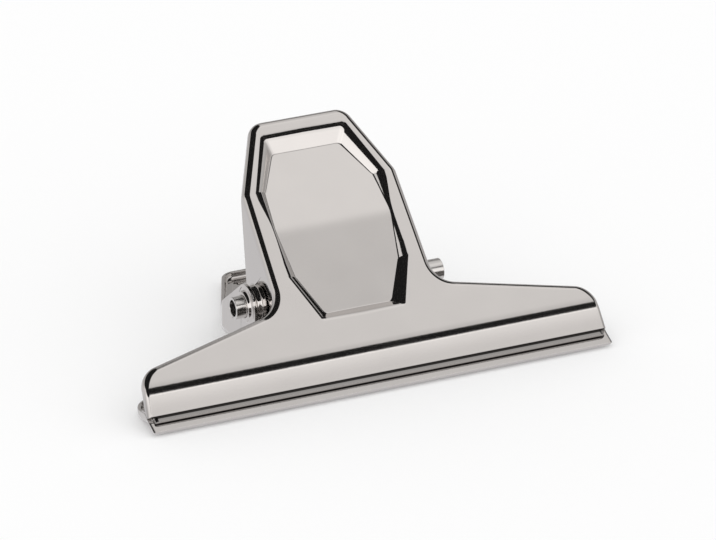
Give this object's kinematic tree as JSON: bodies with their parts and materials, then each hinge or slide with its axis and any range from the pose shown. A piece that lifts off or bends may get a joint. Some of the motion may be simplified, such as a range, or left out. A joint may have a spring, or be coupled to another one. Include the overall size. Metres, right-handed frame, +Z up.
{
  "type": "bulldog clip",
  "caption": "Wide sprung letter clip of pressed sheet metal: hinged plates with recessed handles, a rolled tube pivot, and a torsion spring that holds the lips shut.",
  "frame": {"origin": "middle of the footprint of the closed clip, on the surface that its rear plate lies on", "axes": "+X along the jaws, +Y from the lips towards the handles, +Z up from the surface, out of the rear plate towards the front one"},
  "size_m": [0.1264, 0.0764, 0.053],
  "materials": {
    "plated_sheet": "polished nickel plate",
    "plated_tube": "polished nickel plate",
    "spring_wire": "drawn spring steel, oiled"
  },
  "bodies": {
    "rear": {"rear_plate": "plated_sheet", "pivot_tube": "plated_tube", "torsion_spring": "spring_wire"},
    "front": {"front_plate": "plated_sheet"}
  },
  "joints": [
    {"name": "jaw_pivot", "type": "hinge", "parent": "rear", "child": "front", "pos_m": [0, -0.00517, 0.0142], "axis": [-1, 0, 0], "range_deg": [0, 70], "stiffness_Nm_per_rad": 0.45, "springref_deg": -80.21, "deforming": ["torsion_spring"]}
  ]
}
